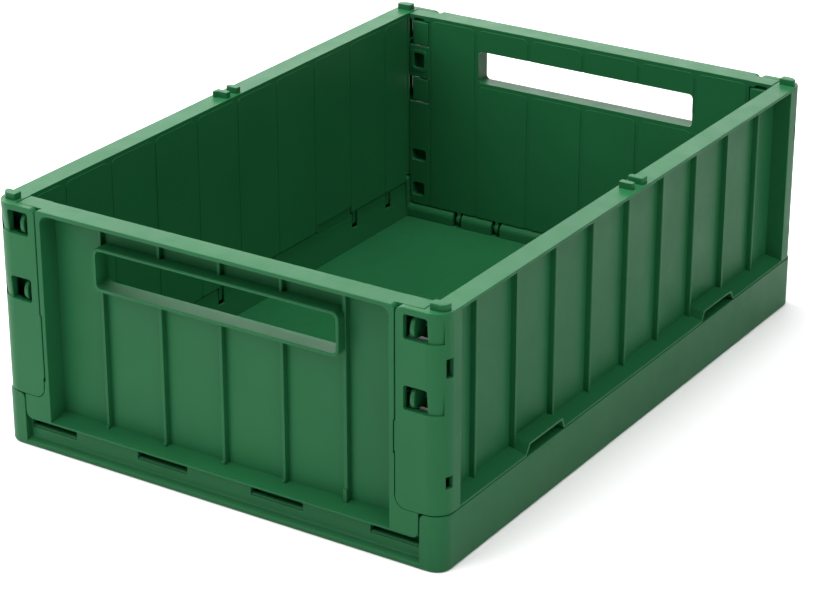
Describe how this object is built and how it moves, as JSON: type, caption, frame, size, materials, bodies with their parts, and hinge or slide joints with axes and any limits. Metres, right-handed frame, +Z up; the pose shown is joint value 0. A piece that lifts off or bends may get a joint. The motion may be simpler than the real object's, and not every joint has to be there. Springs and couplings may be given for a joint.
{
  "type": "collapsible storage crate",
  "caption": "Low rectangular folding crate with ribbed walls, slot handles in the ends, a tray base and rim lugs for stacking.",
  "frame": {"origin": "centre of the underside", "axes": "+X across the crate, +Y along its length from the front end to the back end, +Z up"},
  "size_m": [0.34, 0.485, 0.1753],
  "materials": {
    "tray_plastic": "satin moulded polypropylene, dark green",
    "wall_plastic": "satin moulded polypropylene, dark green",
    "latch_plastic": "satin moulded polypropylene, dark green",
    "pin_plastic": "satin moulded polypropylene, dark green"
  },
  "bodies": {
    "crate_base": {"base_tray": "tray_plastic", "left_wall": "wall_plastic", "right_wall": "wall_plastic", "right_wall_pin_1": "pin_plastic", "right_wall_pin_2": "pin_plastic", "right_wall_pin_3": "pin_plastic", "left_wall_pin_1": "pin_plastic", "left_wall_pin_2": "pin_plastic", "left_wall_pin_3": "pin_plastic", "front_wall_pin_left": "pin_plastic", "front_wall_pin_right": "pin_plastic", "back_wall_pin_left": "pin_plastic", "back_wall_pin_right": "pin_plastic"},
    "front_end": {"front_wall": "wall_plastic", "front_latch_left_upper": "latch_plastic", "front_latch_left_lower": "latch_plastic", "front_latch_right_upper": "latch_plastic", "front_latch_right_lower": "latch_plastic"},
    "back_end": {"back_wall": "wall_plastic", "back_latch_left_upper": "latch_plastic", "back_latch_left_lower": "latch_plastic", "back_latch_right_upper": "latch_plastic", "back_latch_right_lower": "latch_plastic"}
  },
  "joints": [
    {"name": "front_wall_fold", "type": "hinge", "parent": "crate_base", "child": "front_end", "pos_m": [0, -0.2275, 0.0095], "axis": [-1, 0, 0], "range_deg": [0, 90]},
    {"name": "back_wall_fold", "type": "hinge", "parent": "crate_base", "child": "back_end", "pos_m": [0, 0.2275, 0.0095], "axis": [1, 0, 0], "range_deg": [0, 90]}
  ]
}
